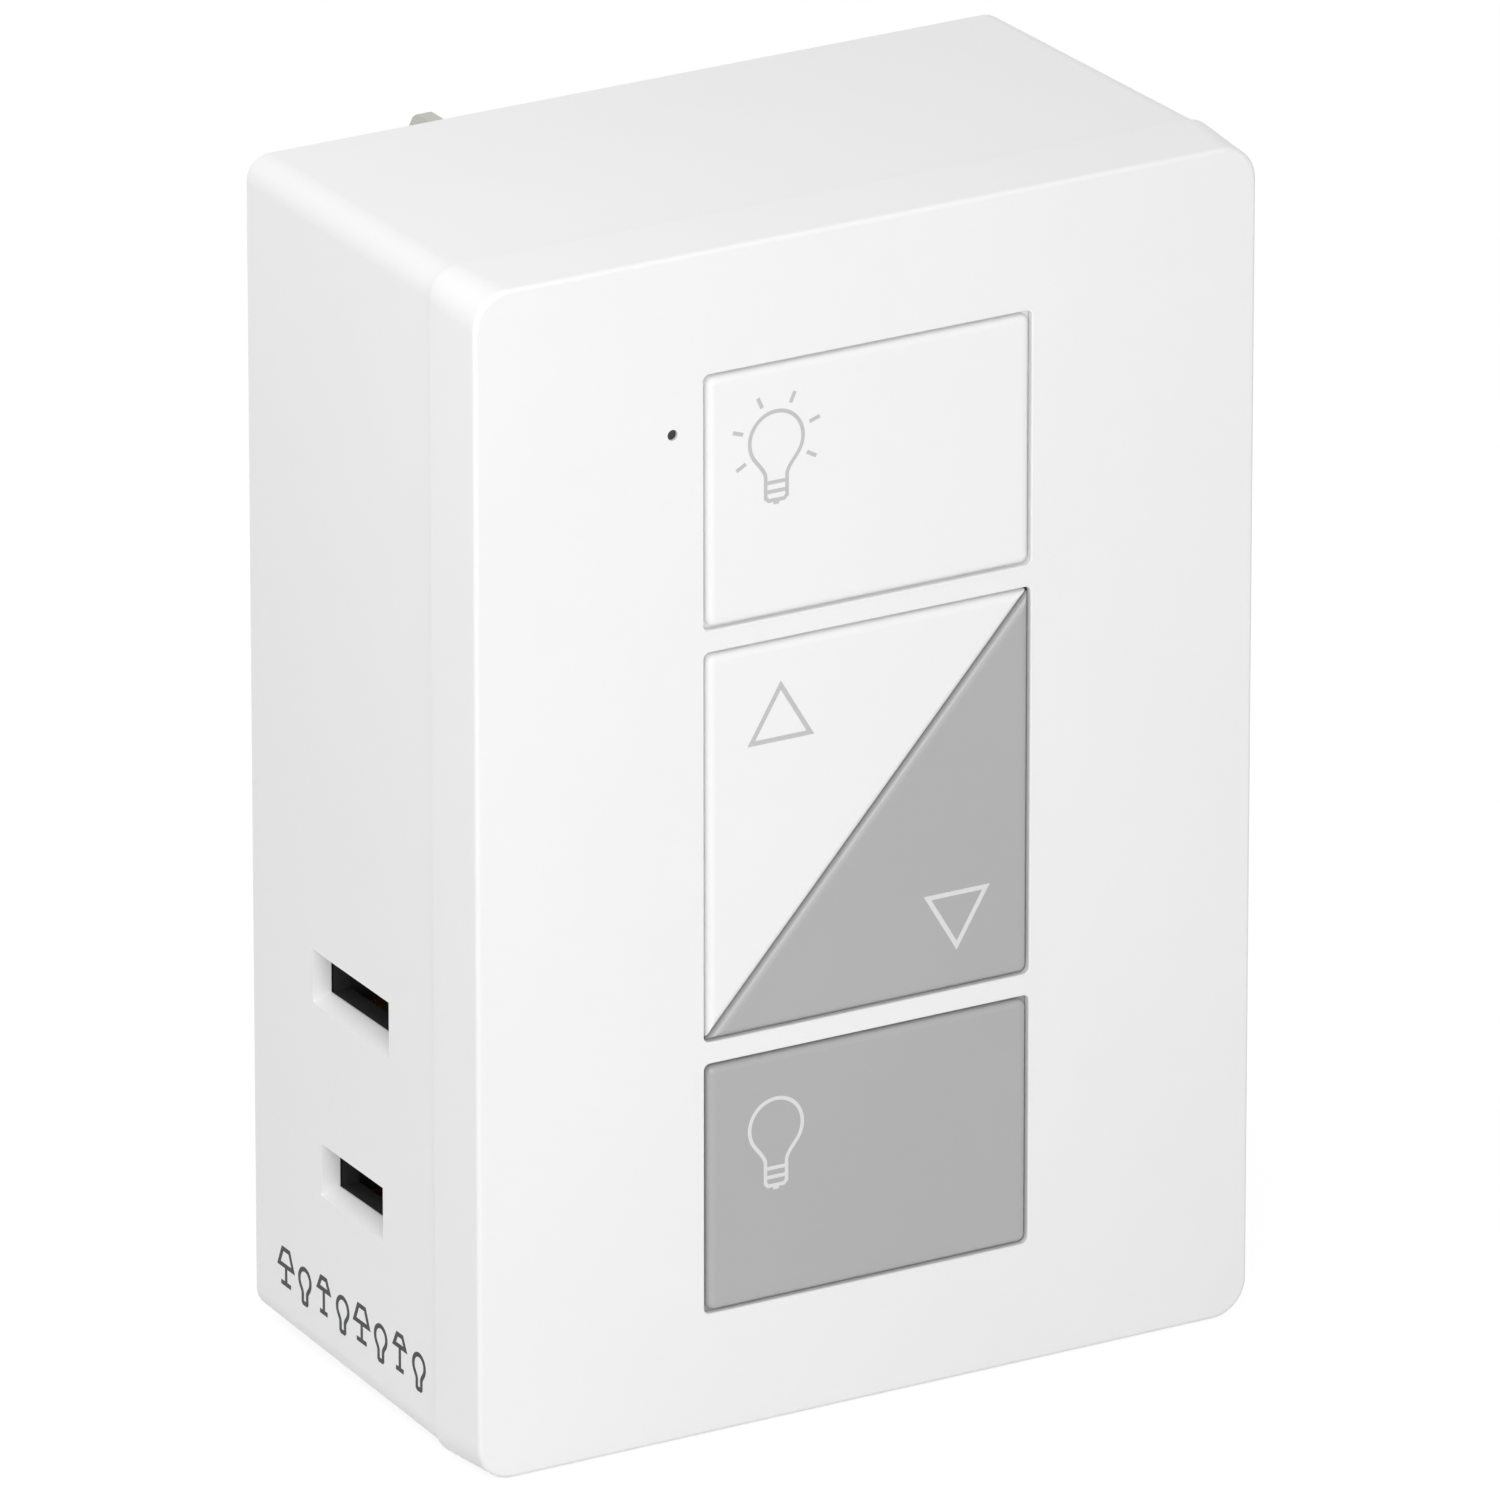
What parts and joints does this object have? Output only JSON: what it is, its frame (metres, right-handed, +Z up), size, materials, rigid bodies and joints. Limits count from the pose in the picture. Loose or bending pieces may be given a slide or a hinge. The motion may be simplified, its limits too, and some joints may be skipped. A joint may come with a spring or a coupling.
{
  "type": "plug-in lamp dimmer",
  "caption": "White plug-in dimmer box with rectangular and triangular buttons on its face, plug blades at the back and lamp receptacles in its sides.",
  "frame": {"origin": "on the flat back face that lies against the wall plate, half way between the two plug blades", "axes": "+Z up along the long side, +Y into the wall outlet along the blades, so the face with the buttons looks along -Y; X across, with the wide blade at -X"},
  "size_m": [0.0552, 0.0461, 0.0783],
  "materials": {
    "case_plastic": "fine satin, moulded",
    "white_key": "fine satin, moulded",
    "gray_key": "fine satin, moulded",
    "natural_plastic": "natural, unpainted",
    "smoked_plastic": "smoked clear, polished ends",
    "lamp_plastic": "clear resin chip",
    "board": "green solder mask",
    "black_plastic": "black, moulded",
    "tinned_steel": "tinned",
    "screw_steel": "zinc plated",
    "contact_brass": "bare, rolled",
    "plated_blade": "nickel plated, satin",
    "copper": "enamelled copper",
    "ferrite": "dark sintered ferrite",
    "capacitor_sleeve": "dark shrink sleeve",
    "varistor_coat": "dipped resin",
    "film_box": "moulded box",
    "aluminium": "mill finish"
  },
  "bodies": {
    "case": {"front_cover": "case_plastic", "rear_housing": "case_plastic", "button_guide_frame": "natural_plastic", "status_light_pipe": "smoked_plastic", "status_lamp": "lamp_plastic", "control_board": "board", "power_board": "board", "microcontroller": "black_plastic", "radio_shield": "tinned_steel", "crystal": "tinned_steel", "antenna": "copper", "contact_holder": "black_plastic", "contact_holder_lid": "black_plastic", "neutral_contact_bar": "contact_brass", "line_contact_bar": "contact_brass", "neutral_blade": "plated_blade", "line_blade": "plated_blade", "transformer_core": "ferrite", "transformer_bobbin": "natural_plastic", "transformer_winding": "copper", "choke_core": "ferrite", "choke_winding": "copper", "storage_capacitor_1": "capacitor_sleeve", "storage_capacitor_2": "capacitor_sleeve", "surge_varistor": "varistor_coat", "film_capacitor": "film_box", "fuse": "black_plastic", "heat_sink": "aluminium", "dimmer_transistor_1": "black_plastic", "dimmer_transistor_2": "black_plastic", "bridge_rectifier": "black_plastic", "board_connector": "natural_plastic", "case_screw_1": "screw_steel", "control_board_screw_1": "screw_steel", "power_board_screw_1": "screw_steel", "case_screw_2": "screw_steel", "control_board_screw_2": "screw_steel", "power_board_screw_2": "screw_steel", "case_screw_3": "screw_steel", "control_board_screw_3": "screw_steel", "power_board_screw_3": "screw_steel", "case_screw_4": "screw_steel", "control_board_screw_4": "screw_steel", "power_board_screw_4": "screw_steel", "on_switch_housing": "black_plastic", "raise_switch_housing": "black_plastic", "lower_switch_housing": "black_plastic", "off_switch_housing": "black_plastic"},
    "on_key": {"on_button": "white_key", "on_switch_plunger": "black_plastic"},
    "raise_key": {"raise_button": "white_key", "raise_switch_plunger": "black_plastic"},
    "lower_key": {"lower_button": "gray_key", "lower_switch_plunger": "black_plastic"},
    "off_key": {"off_button": "gray_key", "off_switch_plunger": "black_plastic"}
  },
  "joints": [
    {"name": "on_press", "type": "slide", "parent": "case", "child": "on_key", "axis": [0, 1, 0], "range_m": [0, 0.0005], "stiffness_N_per_m": 3000},
    {"name": "raise_press", "type": "slide", "parent": "case", "child": "raise_key", "axis": [0, 1, 0], "range_m": [0, 0.0005], "stiffness_N_per_m": 3000},
    {"name": "lower_press", "type": "slide", "parent": "case", "child": "lower_key", "axis": [0, 1, 0], "range_m": [0, 0.0005], "stiffness_N_per_m": 3000},
    {"name": "off_press", "type": "slide", "parent": "case", "child": "off_key", "axis": [0, 1, 0], "range_m": [0, 0.0005], "stiffness_N_per_m": 3000}
  ]
}
